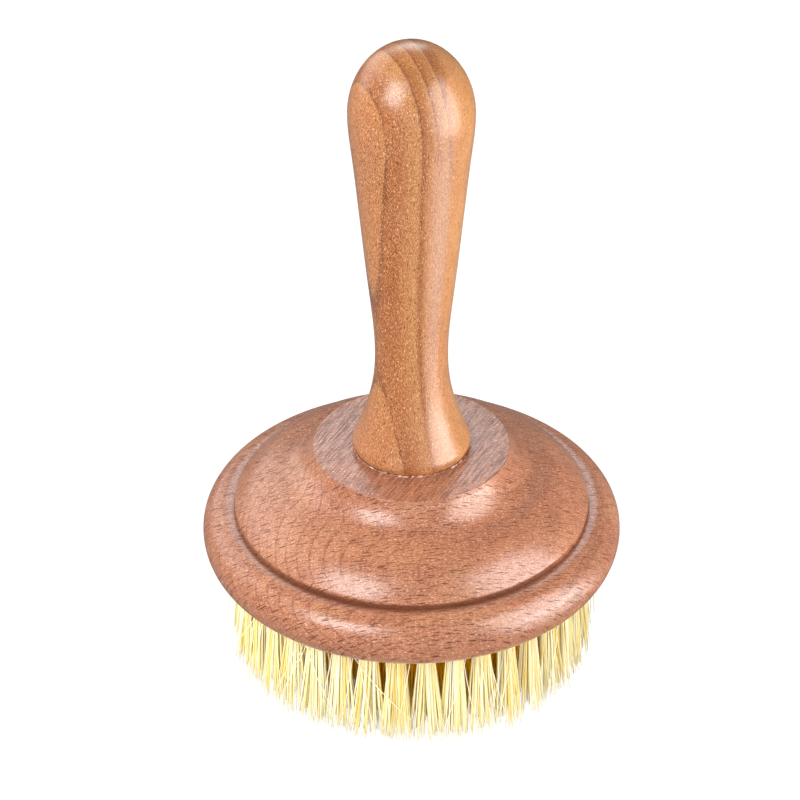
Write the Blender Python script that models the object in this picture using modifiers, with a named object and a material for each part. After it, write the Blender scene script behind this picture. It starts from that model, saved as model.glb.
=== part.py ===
"""Round body dry brush: an upright turned handle, dowelled to a turned wooden head set with tufts of plant fibre.

Metres, +Z up. The tips of the tufts stand on z = 0, and the whole brush is turned about the Z axis.
"""

import math

import bmesh
import bpy
from mathutils import Matrix, Vector

# Driving dimensions of the head
HEAD_RADIUS = 0.055
HEAD_THICKNESS = 0.0315
BOSS_RADIUS = 0.0257
BOSS_EDGE = 0.001
STEP_RADIUS = 0.0463
STEP_HEIGHT = 0.0151
DOME_RADIUS = 0.0208
DOME_EDGE_SLOPE = math.radians(55)
COVE_TOP_SLOPE = math.radians(70)
RIM_RADIUS = 0.0071
RIM_HEIGHT = 0.0063
UNDERCUT_WIDTH = 0.0045
GROOVE_RADIUS = 0.0012

# Driving dimensions of the handle, and of the dowel that joins it to the head
HANDLE_STATIONS = (
    (0.0, 0.0148),
    (0.0014, 0.0153),
    (0.004, 0.0145),
    (0.008, 0.0130),
    (0.013, 0.0114),
    (0.020, 0.0099),
    (0.032, 0.0094),
    (0.046, 0.01065),
    (0.060, 0.0121),
    (0.074, 0.01345),
    (0.087, 0.0148),
    (0.0975, 0.01565),
)
KNOB_CAP = 0.0186
DOWEL_RADIUS = 0.00485
DOWEL_FLUTE = 0.0004
DOWEL_FLUTES = 12
DOWEL_CHAMFER = 0.0008
BORE_DEPTH = 0.020

# Driving dimensions of the bristle field
BRISTLE_LENGTH = 0.0295
OUTER_ROW_RADIUS = 0.044
ROW_PITCH = 0.0074
ROW_COUNTS = (38, 32, 26, 20, 12, 6)
TUFT_RADIUS = 0.0022
TUFT_DEPTH = 0.008
TIP_RADIUS = 0.0034
TIP_SPLAY = 0.034
TUFT_SIDES = 6
OUTER_TIP_FILL = 1.06
INNER_TIP_FILL = 1.24

# Clearance between neighbouring solids, and how finely the turned shapes are divided
GAP = 0.0003
HEAD_STEPS = 48
HANDLE_STEPS = 40
MERGE = 0.00001

# Heights that follow from the dimensions above
UNDERSIDE = BRISTLE_LENGTH
BOSS_TOP = UNDERSIDE + HEAD_THICKNESS
HANDLE_FOOT = BOSS_TOP + GAP
BORE_RADIUS = DOWEL_RADIUS + GAP

# Turns a six-sided tuft so that its flat sides face its neighbours in the row
FLATS_SIDEWAYS = Matrix.Rotation(math.pi / TUFT_SIDES, 4, "Z")

BEECH = ("beech", (0.48, 0.25, 0.16), 0.38)
CHERRY = ("cherry", (0.55, 0.26, 0.11), 0.34)
DOWEL_BEECH = ("dowel_beech", (0.66, 0.47, 0.30), 0.60)
TAMPICO = ("tampico", (0.88, 0.75, 0.42), 0.65)


def clear_scene():
    for obj in list(bpy.data.objects):
        bpy.data.objects.remove(obj, do_unlink=True)


def new_collection(name):
    collection = bpy.data.collections.new(name)
    bpy.context.scene.collection.children.link(collection)
    return collection


def material(name, colour, roughness):
    """A plain Principled material, shared by every piece of the same stuff."""
    found = bpy.data.materials.get(name)
    if found:
        return found
    made = bpy.data.materials.new(name)
    made.use_nodes = True
    shader = made.node_tree.nodes["Principled BSDF"]
    shader.inputs["Base Color"].default_value = (*colour, 1.0)
    shader.inputs["Roughness"].default_value = roughness
    shader.inputs["Metallic"].default_value = 0.0
    made.diffuse_color = (*colour, 1.0)
    return made


def add_piece(name, mesh, collection, stuff):
    obj = bpy.data.objects.new(name, mesh)
    mesh.materials.append(material(*stuff))
    collection.objects.link(obj)
    return obj


def hide_helper(obj):
    obj.hide_render = True
    obj.display_type = "WIRE"


def arc(centre, radius, start, end, count):
    """Points (radius, height) on an arc. Angles are measured from straight up, turning outwards."""
    angles = [start + (end - start) * i / (count - 1) for i in range(count)]
    return [(centre[0] + radius * math.sin(a), centre[1] + radius * math.cos(a)) for a in angles]


def turned(name, profile, steps, collection, stuff):
    """A solid of revolution. The profile runs down the outer side, from top to bottom."""
    mesh = bpy.data.meshes.new(name)
    edges = [(i, i + 1) for i in range(len(profile) - 1)]
    mesh.from_pydata([(radius, 0.0, height) for radius, height in profile], edges, [])
    obj = add_piece(name, mesh, collection, stuff)
    screw = obj.modifiers.new("Turning", "SCREW")
    screw.axis = "Z"
    screw.steps = screw.render_steps = steps
    screw.use_merge_vertices = True
    screw.merge_threshold = MERGE
    screw.use_smooth_shade = True
    return obj


def dome_and_cove():
    """The ogee from the boss to the step: a hollow cove that turns smoothly into a convex dome."""
    edge_up = Vector((math.sin(DOME_EDGE_SLOPE), math.cos(DOME_EDGE_SLOPE)))
    cove_up = Vector((math.sin(COVE_TOP_SLOPE), math.cos(COVE_TOP_SLOPE)))
    step_edge = Vector((STEP_RADIUS, UNDERSIDE + STEP_HEIGHT))
    cove_top = Vector((BOSS_RADIUS, BOSS_TOP - BOSS_EDGE))
    dome_centre = step_edge - DOME_RADIUS * edge_up
    # The two arcs touch where their centres are as far apart as the sum of their radii.
    between = cove_top - dome_centre
    cove_radius = (between.length_squared - DOME_RADIUS**2) / (2 * (DOME_RADIUS - between.dot(cove_up)))
    cove_centre = cove_top + cove_radius * cove_up
    join = math.atan2(cove_centre.x - dome_centre.x, cove_centre.y - dome_centre.y)
    cove = arc(cove_centre, -cove_radius, COVE_TOP_SLOPE, join, 6)
    dome = arc(dome_centre, DOME_RADIUS, join, DOME_EDGE_SLOPE, 7)
    return cove + dome[1:]


def rim():
    """The rounded rim: a small groove below the step, the round outer bead, and the tighter turn under it."""
    bead_centre = (HEAD_RADIUS - RIM_RADIUS, UNDERSIDE + RIM_HEIGHT)
    bead_top = bead_centre[1] + RIM_RADIUS
    groove_centre = (STEP_RADIUS + GROOVE_RADIUS, bead_top + GROOVE_RADIUS)
    groove = arc(groove_centre, -GROOVE_RADIUS, math.radians(90), 0.0, 4)
    bead = arc(bead_centre, RIM_RADIUS, 0.0, math.radians(90), 7)
    turns = [math.radians(90) * i / 5 for i in range(1, 6)]
    under_centre = HEAD_RADIUS - UNDERCUT_WIDTH
    under = [
        (under_centre + UNDERCUT_WIDTH * math.cos(a), bead_centre[1] - RIM_HEIGHT * math.sin(a))
        for a in turns
    ]
    return groove + bead + under


def head_profile():
    bore = [
        (0.0, BOSS_TOP - BORE_DEPTH),
        (BORE_RADIUS, BOSS_TOP - BORE_DEPTH),
        (BORE_RADIUS, BOSS_TOP),
        (BOSS_RADIUS, BOSS_TOP),
    ]
    return bore + dome_and_cove() + rim() + [(0.0, UNDERSIDE)]


def smooth_radius(stations, height):
    """The radius at a height, on a smooth curve through the (height, radius) stations."""
    index = max(i for i in range(len(stations) - 1) if stations[i][0] <= height)
    (z0, r0), (z1, r1) = stations[index], stations[index + 1]

    def slope(i):
        low, high = stations[max(i - 1, 0)], stations[min(i + 1, len(stations) - 1)]
        return (high[1] - low[1]) / (high[0] - low[0])

    start = slope(index)
    end = slope(index + 1) if index + 2 < len(stations) else 0.0
    span = z1 - z0
    t = (height - z0) / span
    hermite = (
        (2 * t**3 - 3 * t**2 + 1) * r0
        + (t**3 - 2 * t**2 + t) * span * start
        + (-2 * t**3 + 3 * t**2) * r1
        + (t**3 - t**2) * span * end
    )
    return hermite


def handle_profile():
    knob_height, knob_radius = HANDLE_STATIONS[-1]
    turns = [math.radians(90) * i / 8 for i in range(8)]
    cap = [
        (knob_radius * math.sin(a), HANDLE_FOOT + knob_height + KNOB_CAP * math.cos(a)) for a in turns
    ]
    # Between the stations the curve is read once more, so that the long taper stays smooth.
    heights = [z for z, _ in HANDLE_STATIONS]
    halfway = [(a + b) / 2 for a, b in zip(heights, heights[1:]) if b - a > 0.009]
    shaft = [
        (smooth_radius(HANDLE_STATIONS, z), HANDLE_FOOT + z)
        for z in sorted(heights[:-1] + halfway, reverse=True)
    ]
    bore = [
        (BORE_RADIUS, HANDLE_FOOT),
        (BORE_RADIUS, HANDLE_FOOT + BORE_DEPTH),
        (0.0, HANDLE_FOOT + BORE_DEPTH),
    ]
    return cap + [(knob_radius, HANDLE_FOOT + knob_height)] + shaft + bore


def add_dowel(collection):
    """A fluted dowel with chamfered ends, half in the head and half in the handle."""
    length = 2 * BORE_DEPTH - GAP
    mesh = bpy.data.meshes.new("fluted_dowel")
    bm = bmesh.new()
    bmesh.ops.create_cone(
        bm,
        cap_ends=True,
        segments=2 * DOWEL_FLUTES,
        radius1=DOWEL_RADIUS,
        radius2=DOWEL_RADIUS,
        depth=length,
    )
    for vert in bm.verts:
        angle = math.atan2(vert.co.y, vert.co.x)
        if round(angle * DOWEL_FLUTES / math.pi) % 2:
            vert.co.xy *= (DOWEL_RADIUS - DOWEL_FLUTE) / DOWEL_RADIUS
    ends = [face for face in bm.faces if abs(face.normal.z) > 0.9]
    bmesh.ops.inset_region(bm, faces=ends, thickness=DOWEL_CHAMFER, use_even_offset=False)
    for face in ends:
        for vert in face.verts:
            vert.co.z = math.copysign(length / 2, vert.co.z)
    tips = {vert for face in ends for vert in face.verts}
    for vert in bm.verts:
        if vert not in tips:
            vert.co.z = math.copysign(length / 2 - DOWEL_CHAMFER, vert.co.z)
    bm.to_mesh(mesh)
    bm.free()
    dowel = add_piece("fluted_dowel", mesh, collection, DOWEL_BEECH)
    dowel.location.z = BOSS_TOP + GAP / 2
    return dowel


def row_radii():
    return [OUTER_ROW_RADIUS - ROW_PITCH * i for i in range(len(ROW_COUNTS))]


def place(radius, angle):
    """From a tuft's own frame, with X pointing away from the brush's axis, to its place in the row."""
    return Matrix.Rotation(angle, 4, "Z") @ Matrix.Translation((radius, 0.0, 0.0))


def add_tuft(bm, radius, angle, tip_width):
    """A tuft: straight in its hole, then spreading to the tip and leaning slightly outwards."""
    cone = bmesh.ops.create_cone(
        bm,
        cap_ends=True,
        segments=TUFT_SIDES,
        radius1=TIP_RADIUS,
        radius2=TUFT_RADIUS,
        depth=BRISTLE_LENGTH,
        matrix=Matrix.Translation((0.0, 0.0, BRISTLE_LENGTH / 2)) @ FLATS_SIDEWAYS,
    )["verts"]
    mouth = next(f for f in bm.faces if f.normal.z > 0.9 and all(v in cone for v in f.verts))
    root = bmesh.ops.extrude_face_region(bm, geom=[mouth])["geom"]
    root = [v for v in root if isinstance(v, bmesh.types.BMVert)]
    bmesh.ops.delete(bm, geom=[mouth], context="FACES_KEEP_BOUNDARY")
    bmesh.ops.translate(bm, verts=root, vec=(0.0, 0.0, TUFT_DEPTH - GAP))
    widen = tip_width / TIP_RADIUS
    for vert in cone:
        spread = max(0.0, 1 - vert.co.z / BRISTLE_LENGTH)
        vert.co.y *= 1 + (widen - 1) * spread
        vert.co.x += radius * TIP_SPLAY * spread
    bmesh.ops.transform(bm, verts=cone + root, matrix=place(radius, angle))


def tuft_mesh(name, radius, count, chosen, fill):
    """One mesh with the chosen tufts of a row. fill is a tip's width over its corners, as a share of the pitch."""
    bm = bmesh.new()
    pitch = 2 * math.pi * radius * (1 + TIP_SPLAY) / count
    width = fill * pitch / 2 if count > 1 else TIP_RADIUS
    for i in chosen:
        add_tuft(bm, radius, 2 * math.pi * i / count, width)
    bmesh.ops.recalc_face_normals(bm, faces=bm.faces)
    mesh = bpy.data.meshes.new(name)
    bm.to_mesh(mesh)
    bm.free()
    return mesh


def add_outer_tufts(collection):
    """Each tuft of the outermost row is a piece of its own."""
    radius, count = OUTER_ROW_RADIUS, ROW_COUNTS[0]
    for i in range(count):
        name = f"outer_tuft_{i + 1:02d}"
        add_piece(name, tuft_mesh(name, radius, count, [i], OUTER_TIP_FILL), collection, TAMPICO)


def add_inner_rows(collection, helpers):
    """Each row further in is one piece: its tufts stand in their own holes and run together at the tips."""
    for row, (radius, count) in enumerate(zip(row_radii()[1:], ROW_COUNTS[1:]), start=2):
        name = f"tuft_row_{row}"
        even = tuft_mesh(name, radius, count, range(0, count, 2), INNER_TIP_FILL)
        odd = tuft_mesh(f"{name}_other_half", radius, count, range(1, count, 2), INNER_TIP_FILL)
        ring = add_piece(name, even, collection, TAMPICO)
        other = add_piece(f"{name}_other_half", odd, helpers, TAMPICO)
        hide_helper(other)
        union = ring.modifiers.new("Tips run together", "BOOLEAN")
        union.operation = "UNION"
        union.solver = "EXACT"
        union.object = other


def add_centre_tuft(collection):
    add_piece("centre_tuft", tuft_mesh("centre_tuft", 0.0, 1, [0], 1.0), collection, TAMPICO)


def hole_cutter(helpers):
    """Every tuft hole as one mesh of prisms that stand out below the underside."""
    bm = bmesh.new()
    depth = TUFT_DEPTH + GAP
    at_mouth = Matrix.Translation((0.0, 0.0, UNDERSIDE)) @ FLATS_SIDEWAYS
    rows = list(zip(row_radii(), ROW_COUNTS)) + [(0.0, 1)]
    for radius, count in rows:
        for i in range(count):
            bmesh.ops.create_cone(
                bm,
                cap_ends=True,
                segments=TUFT_SIDES,
                radius1=TUFT_RADIUS + GAP,
                radius2=TUFT_RADIUS + GAP,
                depth=2 * depth,
                matrix=place(radius, 2 * math.pi * i / count) @ at_mouth,
            )
    mesh = bpy.data.meshes.new("tuft_hole_cutter")
    bm.to_mesh(mesh)
    bm.free()
    cutter = add_piece("tuft_hole_cutter", mesh, helpers, BEECH)
    hide_helper(cutter)
    return cutter


def add_head(collection, helpers):
    head = turned("head", head_profile(), HEAD_STEPS, collection, BEECH)
    drilled = head.modifiers.new("Tuft holes", "BOOLEAN")
    drilled.operation = "DIFFERENCE"
    drilled.solver = "EXACT"
    drilled.object = hole_cutter(helpers)
    return head


def main():
    clear_scene()
    brush = new_collection("body_dry_brush")
    helpers = new_collection("cutters")
    add_head(brush, helpers)
    turned("handle", handle_profile(), HANDLE_STEPS, brush, CHERRY)
    add_dowel(brush)
    add_outer_tufts(brush)
    add_inner_rows(brush, helpers)
    add_centre_tuft(brush)


main()
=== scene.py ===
import math

import bmesh
import bpy
import numpy as np
from mathutils import Matrix, Vector


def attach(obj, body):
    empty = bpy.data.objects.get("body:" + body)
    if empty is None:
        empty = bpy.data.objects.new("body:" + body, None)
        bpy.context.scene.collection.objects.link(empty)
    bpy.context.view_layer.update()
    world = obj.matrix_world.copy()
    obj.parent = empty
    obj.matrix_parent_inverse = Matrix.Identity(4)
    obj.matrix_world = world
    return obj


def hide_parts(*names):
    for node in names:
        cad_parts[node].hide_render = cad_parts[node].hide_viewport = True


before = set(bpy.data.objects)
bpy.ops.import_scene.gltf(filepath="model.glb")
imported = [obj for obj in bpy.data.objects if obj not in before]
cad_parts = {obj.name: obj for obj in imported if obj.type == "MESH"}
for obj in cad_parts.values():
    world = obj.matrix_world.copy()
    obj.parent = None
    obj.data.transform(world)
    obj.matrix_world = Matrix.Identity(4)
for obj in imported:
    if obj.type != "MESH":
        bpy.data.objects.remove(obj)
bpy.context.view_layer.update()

# The driving dimensions of the turned head, in metres, as in the CAD source
HEAD_RADIUS = 0.055
HEAD_THICKNESS = 0.0315
BOSS_RADIUS = 0.0257
BOSS_EDGE = 0.001
STEP_RADIUS = 0.0463
STEP_HEIGHT = 0.0151
DOME_RADIUS = 0.0208
DOME_EDGE_SLOPE = math.radians(55)
COVE_TOP_SLOPE = math.radians(70)
RIM_RADIUS = 0.0071
RIM_HEIGHT = 0.0063
UNDERCUT_WIDTH = 0.0045

# The handle's outline as (height over its foot, radius), and its rounded top
HANDLE_STATIONS = (
    (0.0, 0.0148),
    (0.0014, 0.0153),
    (0.004, 0.0145),
    (0.008, 0.0130),
    (0.013, 0.0114),
    (0.020, 0.0099),
    (0.032, 0.0094),
    (0.046, 0.01065),
    (0.060, 0.0121),
    (0.074, 0.01345),
    (0.087, 0.0148),
    (0.0975, 0.01565),
)
KNOB_CAP = 0.0186
BORE_RADIUS = 0.00515
BORE_DEPTH = 0.020

# The bristle field
BRISTLE_LENGTH = 0.0295
OUTER_ROW_RADIUS = 0.044
ROW_PITCH = 0.0074
ROW_COUNTS = (38, 32, 26, 20, 12, 6)
HOLE_RADIUS = 0.0025
HOLE_DEPTH = 0.0083
TUFT_RADIUS = 0.0021
TIP_RADIUS = 0.0034
TIP_SPLAY = 0.034

# Heights that follow from the dimensions above, with the hairline between the handle and the head
GAP = 0.0003
UNDERSIDE = BRISTLE_LENGTH
BOSS_TOP = UNDERSIDE + HEAD_THICKNESS
HANDLE_FOOT = BOSS_TOP + GAP

# Softened edges that only the visible wood has, and the top of the rim where it dips to meet the step
BOSS_ROUNDING = 0.0003
STEP_ROUNDING = 0.0006
CROWN_RADIUS = 0.0070

# How finely the turned wood is stepped: points on each stretch of outline, and steps round the axis
BOSS_POINTS = 6
COVE_POINTS = 22
DOME_POINTS = 30
STEP_POINTS = 5
CROWN_POINTS = 9
RIM_POINTS = 26
UNDERCUT_POINTS = 18
KNOB_POINTS = 40
SHAFT_POINTS = 170
HEAD_STEPS = 256
HANDLE_STEPS = 160
HOLE_STEPS = 20
HEAD_CREASE = math.radians(32)
HANDLE_CREASE = math.radians(40)
ON_AXIS = 1e-9
QUARTER = math.radians(90)

MM = 1000.0


# ------------------------------------------------------------------ meshes


def link(obj):
    """Puts an object in the scene."""
    bpy.context.scene.collection.objects.link(obj)
    return obj


def arc(centre, radius, start, end, count):
    """Points (radius, height) on an arc. Angles are measured from straight up, turning outwards."""
    angles = [start + (end - start) * i / (count - 1) for i in range(count)]
    return [(centre[0] + radius * math.sin(a), centre[1] + radius * math.cos(a)) for a in angles]


def turned_mesh(name, profile, steps):
    """A closed turned mesh. The outline runs down the outer side and starts and ends on the axis."""
    turns = [2 * math.pi * i / steps for i in range(steps)]
    verts, rings = [], []
    for radius, height in profile:
        if radius < ON_AXIS:
            rings.append([len(verts)] * steps)
            verts.append((0.0, 0.0, height))
            continue
        rings.append([len(verts) + i for i in range(steps)])
        verts += [(radius * math.cos(a), radius * math.sin(a), height) for a in turns]
    faces = []
    for upper, lower in zip(rings, rings[1:]):
        for i in range(steps):
            j = (i + 1) % steps
            corners = [upper[i], lower[i], lower[j], upper[j]]
            faces.append(list(dict.fromkeys(corners)))
    mesh = bpy.data.meshes.new(name)
    mesh.from_pydata(verts, [], faces)
    mesh.update()
    return mesh


def smooth_with_edges(mesh, angle):
    """Smooth shading, with a sharp edge wherever two faces turn by more than the angle."""
    mesh.shade_smooth()
    mesh.set_sharp_from_angle(angle=angle)


def cubic_through(stations, heights):
    """Radii at some heights on the smoothest curve through the stations, upright at its top end."""
    z = np.array([s[0] for s in stations])
    r = np.array([s[1] for s in stations])
    gap = np.diff(z)
    rise = np.diff(r) / gap
    count = len(z)
    system = np.zeros((count, count))
    wanted = np.zeros(count)
    system[0, :2] = (2.0, 1.0)
    wanted[0] = 3 * rise[0]
    system[-1, -1] = 1.0
    for i in range(1, count - 1):
        before, after = 1 / gap[i - 1], 1 / gap[i]
        system[i, i - 1 : i + 2] = (before, 2 * (before + after), after)
        wanted[i] = 3 * (rise[i - 1] * before + rise[i] * after)
    slope = np.linalg.solve(system, wanted)
    at = np.clip(np.searchsorted(z, heights, side="right") - 1, 0, count - 2)
    t = (heights - z[at]) / gap[at]
    return (
        (2 * t**3 - 3 * t**2 + 1) * r[at]
        + (t**3 - 2 * t**2 + t) * gap[at] * slope[at]
        + (3 * t**2 - 2 * t**3) * r[at + 1]
        + (t**3 - t**2) * gap[at] * slope[at + 1]
    )


# ------------------------------------------------------------------ the turned wood


def dome_and_cove():
    """The hollow cove under the boss and the round dome under it, which run into each other smoothly."""
    edge_up = Vector((math.sin(DOME_EDGE_SLOPE), math.cos(DOME_EDGE_SLOPE)))
    cove_up = Vector((math.sin(COVE_TOP_SLOPE), math.cos(COVE_TOP_SLOPE)))
    step_edge = Vector((STEP_RADIUS, UNDERSIDE + STEP_HEIGHT))
    cove_top = Vector((BOSS_RADIUS, BOSS_TOP - BOSS_EDGE))
    dome_centre = step_edge - DOME_RADIUS * edge_up
    between = cove_top - dome_centre
    past_dome = between.length_squared - DOME_RADIUS**2
    cove_radius = past_dome / (2 * (DOME_RADIUS - between.dot(cove_up)))
    cove_centre = cove_top + cove_radius * cove_up
    join = math.atan2(cove_centre.x - dome_centre.x, cove_centre.y - dome_centre.y)
    cove = arc(cove_centre, -cove_radius, COVE_TOP_SLOPE, join, COVE_POINTS)
    dome = arc(dome_centre, DOME_RADIUS, join, DOME_EDGE_SLOPE, DOME_POINTS)
    return cove + dome[1:]


def head_outline():
    """The bore, the boss with its softened edge, cove, dome and step, then the rim from crown to foot."""
    bore = [
        (0.0, BOSS_TOP - BORE_DEPTH),
        (BORE_RADIUS, BOSS_TOP - BORE_DEPTH),
        (BORE_RADIUS, BOSS_TOP),
        ((BORE_RADIUS + BOSS_RADIUS) / 2, BOSS_TOP),
    ]
    boss_centre = (BOSS_RADIUS - BOSS_ROUNDING, BOSS_TOP - BOSS_ROUNDING)
    boss = arc(boss_centre, BOSS_ROUNDING, 0.0, QUARTER, BOSS_POINTS)
    step_centre = (
        STEP_RADIUS - STEP_ROUNDING * math.sin(DOME_EDGE_SLOPE),
        UNDERSIDE + STEP_HEIGHT - STEP_ROUNDING * math.cos(DOME_EDGE_SLOPE),
    )
    step = arc(step_centre, STEP_ROUNDING, DOME_EDGE_SLOPE, QUARTER, STEP_POINTS)
    wall = step[-1][0]
    bead_centre = (HEAD_RADIUS - RIM_RADIUS, UNDERSIDE + RIM_HEIGHT)
    bead_top = bead_centre[1] + RIM_RADIUS
    crown_centre = (bead_centre[0], bead_top - CROWN_RADIUS)
    inner_turn = math.asin((bead_centre[0] - wall) / CROWN_RADIUS)
    crown = arc(crown_centre, CROWN_RADIUS, -inner_turn, 0.0, CROWN_POINTS)
    bead = arc(bead_centre, RIM_RADIUS, 0.0, QUARTER, RIM_POINTS)[1:]
    under_centre = HEAD_RADIUS - UNDERCUT_WIDTH
    turns = [QUARTER * i / UNDERCUT_POINTS for i in range(1, UNDERCUT_POINTS + 1)]
    under = [
        (under_centre + UNDERCUT_WIDTH * math.cos(a), bead_centre[1] - RIM_HEIGHT * math.sin(a))
        for a in turns
    ]
    upper = bore + boss + dome_and_cove() + step[1:]
    return upper + crown + bead + under + [(0.0, UNDERSIDE)]


def handle_outline():
    """The knob's round cap, the shaft down to the foot, and the bore for the dowel."""
    knob_height, knob_radius = HANDLE_STATIONS[-1]
    turns = [QUARTER * i / KNOB_POINTS for i in range(KNOB_POINTS)]
    cap_foot = HANDLE_FOOT + knob_height
    cap = [(knob_radius * math.sin(a), cap_foot + KNOB_CAP * math.cos(a)) for a in turns]
    heights = np.linspace(knob_height, 0.0, SHAFT_POINTS)
    radii = cubic_through(HANDLE_STATIONS, heights)
    shaft = [(r, HANDLE_FOOT + z) for r, z in zip(radii.tolist(), heights.tolist())]
    foot = [
        (BORE_RADIUS, HANDLE_FOOT),
        (BORE_RADIUS, HANDLE_FOOT + BORE_DEPTH),
        (0.0, HANDLE_FOOT + BORE_DEPTH),
    ]
    return cap + shaft + foot


def tuft_places():
    """(row, number in the row, distance from the axis, angle) of every tuft, the centre tuft last."""
    places = []
    for row, count in enumerate(ROW_COUNTS, start=1):
        radius = OUTER_ROW_RADIUS - ROW_PITCH * (row - 1)
        places += [(row, i + 1, radius, 2 * math.pi * i / count) for i in range(count)]
    return places + [(len(ROW_COUNTS) + 1, 1, 0.0, 0.0)]


def drill_holes(head):
    """Cuts the round tuft holes in the underside."""
    bm = bmesh.new()
    for _, _, radius, angle in tuft_places():
        centre = Vector((radius * math.cos(angle), radius * math.sin(angle), UNDERSIDE))
        bmesh.ops.create_cone(
            bm,
            cap_ends=True,
            segments=HOLE_STEPS,
            radius1=HOLE_RADIUS,
            radius2=HOLE_RADIUS,
            depth=2 * HOLE_DEPTH,
            matrix=Matrix.Translation(centre),
        )
    mesh = bpy.data.meshes.new("hole_cutter")
    bm.to_mesh(mesh)
    bm.free()
    cutter = link(bpy.data.objects.new("hole_cutter", mesh))
    drilled = head.modifiers.new("Tuft holes", "BOOLEAN")
    drilled.operation = "DIFFERENCE"
    drilled.solver = "MANIFOLD"
    drilled.object = cutter
    graph = bpy.context.evaluated_depsgraph_get()
    result = bpy.data.meshes.new_from_object(head.evaluated_get(graph))
    head.modifiers.clear()
    undrilled = head.data
    head.data = result
    bpy.data.meshes.remove(undrilled)
    bpy.data.objects.remove(cutter)
    bpy.data.meshes.remove(mesh)


def make_head(material):
    """The turned head, with its rounded rim and its tuft holes."""
    mesh = turned_mesh("head_turned", head_outline(), HEAD_STEPS)
    head = link(bpy.data.objects.new("head_turned", mesh))
    drill_holes(head)
    smooth_with_edges(head.data, HEAD_CREASE)
    head.data.materials.clear()
    head.data.materials.append(material)
    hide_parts("head")
    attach(head, "root")


def make_handle(material):
    """The turned handle, with the bore for the dowel in its foot."""
    mesh = turned_mesh("handle_turned", handle_outline(), HANDLE_STEPS)
    handle = link(bpy.data.objects.new("handle_turned", mesh))
    smooth_with_edges(mesh, HANDLE_CREASE)
    mesh.materials.append(material)
    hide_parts("handle")
    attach(handle, "root")


# ------------------------------------------------------------------ the bristles

FIBRE_RADIUS = 0.00023
FIBRE_SIDES = 5
FIBRE_RINGS = 9
FIBRES_OUTER = 70
FIBRES_INNER = 58
FIBRE_TAPER = 0.70
FIBRE_SIZES = (0.6, 1.2)
TUFT_SEED = 1108

# How the fibres of a tuft fan out: in clumps, with scatter, and with a few that stray
ROOT_DEPTH = 0.0062
ROOT_SCATTER = 0.00007
TIP_SCATTER = 0.00042
BOW = 0.00026
CLUMPS = 7
CLUMP_SPREAD = 0.55
CLUMP_SHIFT = 0.0006
CLUMP_PULL = 0.3
OUTER_STRAYING = 0.035
INNER_STRAYING = 0.02
STRAY_SCATTER = 0.0021
STRAY_BOW = 0.0008
OUTER_FAN = 0.72
INNER_FAN = 0.6
INNER_TIP_FILL = 1.12

# The centre tuft fans out as a tuft of the innermost row does, this far from the axis
CENTRE_REACH = 0.0066

# How uneven the tips are: by how much most fibres fall short of the brush's foot, and a few more
LEAST_SHORTFALL = 0.0001
MOST_SHORTFALL = 0.0017
SHORT_SHARE = 0.24
SHORT_EXTRA = 0.0035

# Loose fibres: most are placed by chance, from a middle and a spread or from a range
STRAYS = 34
STRAY_SEED = 412
STRAY_STARTS = (-172, -8)
STRAY_SWEEP = (0.0, 7.0)
STRAY_REACH = (0.0018, 0.0013)
STRAY_DROP = (0.82, 1.0)
STRAY_RADII = (0.00009, 0.00015)
STRAY_WAVE = 0.0004
STRAY_TAPER = 0.5
STRAY_SHADE = 0.9

# A few long ones are listed one by one: (start and sweep round the brush in degrees, reach, drop)
LONG_STRAYS = (
    (-112.0, 22.0, 0.0012, 0.74),
    (-128.0, 15.0, 0.0020, 0.80),
    (-146.0, -17.0, 0.0032, 0.86),
)

# The dried glue round the foot: where it runs, in degrees, and how its film swells into beads
GLUE_POINTS = 150
GLUE_SEED = 77
GLUE_FROM = -168
GLUE_TO = -22
GLUE_FILM = 0.00006
GLUE_BEAD = 0.00034
GLUE_BARE = 0.42
GLUE_RISE = 0.4
GLUE_WANDER = 0.0002
GLUE_OFFSET = 0.0001

# The staples: wire radius, half width, and heights from just short of the hole's end
STAPLE_WIRE = 0.0003
STAPLE_TURN = math.radians(35)
STAPLE_HALF = HOLE_RADIUS * 0.8
STAPLE_LEG_TOP = 0.0006
STAPLE_BRIDGE = -0.0012
STAPLE_CLEARANCE = 0.0004


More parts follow.
